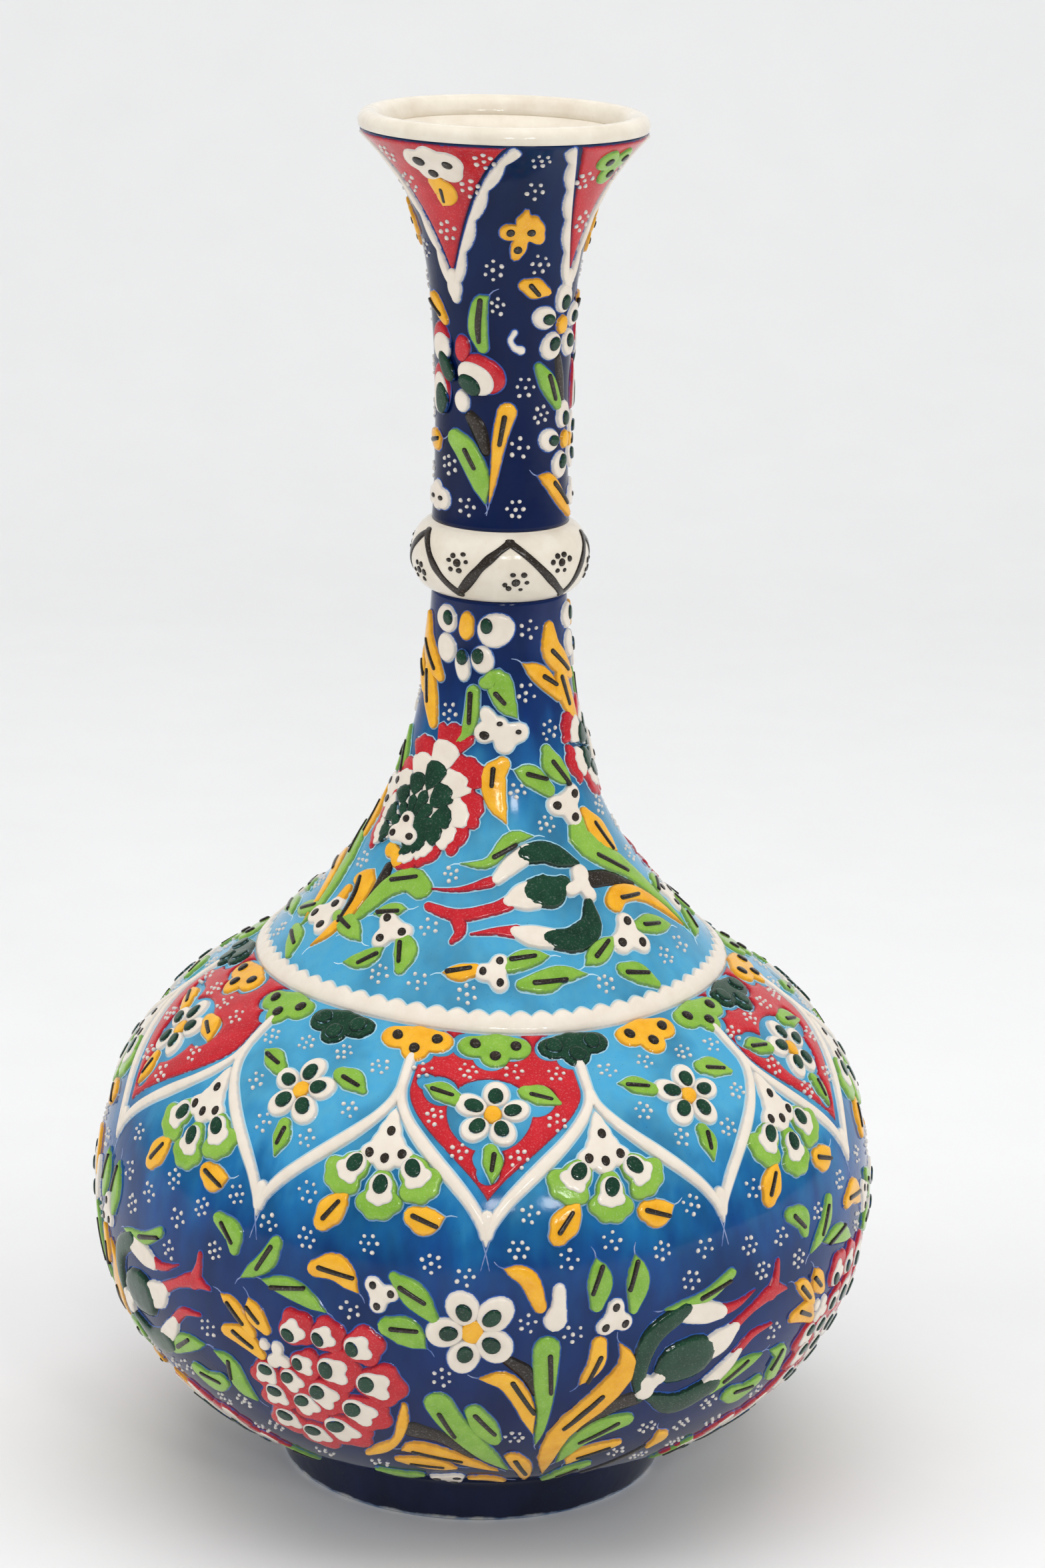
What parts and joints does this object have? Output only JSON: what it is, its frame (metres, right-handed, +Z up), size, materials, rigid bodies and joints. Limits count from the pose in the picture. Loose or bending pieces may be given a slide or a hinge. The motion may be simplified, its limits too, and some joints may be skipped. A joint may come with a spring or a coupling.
{
  "type": "bottle vase",
  "caption": "Long-necked glazed pottery bottle vase with a round belly, foot ring, collar and trumpet mouth, covered in raised enamel flowers and leaves.",
  "frame": {"origin": "centre of the bottom bounding face, on the vase's axis where the foot ring stands", "axes": "+Z up along the vase's axis, -Y towards the front, +X to the right seen from the front"},
  "size_m": [0.1726, 0.1726, 0.3],
  "materials": {
    "navy_glaze": "high-gloss clear glaze over deep cobalt blue, brushed on in streaks",
    "turquoise_glaze": "high-gloss clear glaze over turquoise that deepens to cobalt towards the collar",
    "cream_enamel": "raised glossy cream white enamel",
    "red_enamel": "raised glossy red enamel with a fine light speckle",
    "lime_enamel": "raised glossy lime green enamel",
    "dark_green_enamel": "raised beads of glossy dark green enamel",
    "yellow_enamel": "raised glossy egg-yolk yellow enamel",
    "black_enamel": "raised brush strokes of glossy black-brown enamel"
  },
  "bodies": {
    "root": {"foot_ring": "navy_glaze", "belly_shell": "navy_glaze", "shoulder_neck": "turquoise_glaze", "collar_ring": "cream_enamel", "neck_upper": "navy_glaze", "lip_ring": "cream_enamel", "scallop_band": "cream_enamel", "petal_borders": "cream_enamel", "red_petal_fields": "red_enamel", "petal_blossoms": "cream_enamel", "blossom_hearts": "yellow_enamel", "petal_leaves": "lime_enamel", "notch_cones": "cream_enamel", "notch_sepals": "lime_enamel", "notch_leaves": "yellow_enamel", "trefoils_green": "lime_enamel", "trefoils_dark": "dark_green_enamel", "trefoils_yellow": "yellow_enamel", "tulip_bulbs": "dark_green_enamel", "tulip_bands": "cream_enamel", "tulip_tips": "red_enamel", "carnation_petals_red": "red_enamel", "carnation_cores": "cream_enamel", "bouquet_blossoms": "cream_enamel", "bouquet_leaves_green": "lime_enamel", "bouquet_leaves_yellow": "yellow_enamel", "neck_blossoms": "cream_enamel", "neck_leaves_green": "lime_enamel", "neck_leaves_yellow": "yellow_enamel", "collar_zigzag": "black_enamel", "pennant_fields": "red_enamel", "pennant_borders": "cream_enamel"}
  },
  "joints": []
}
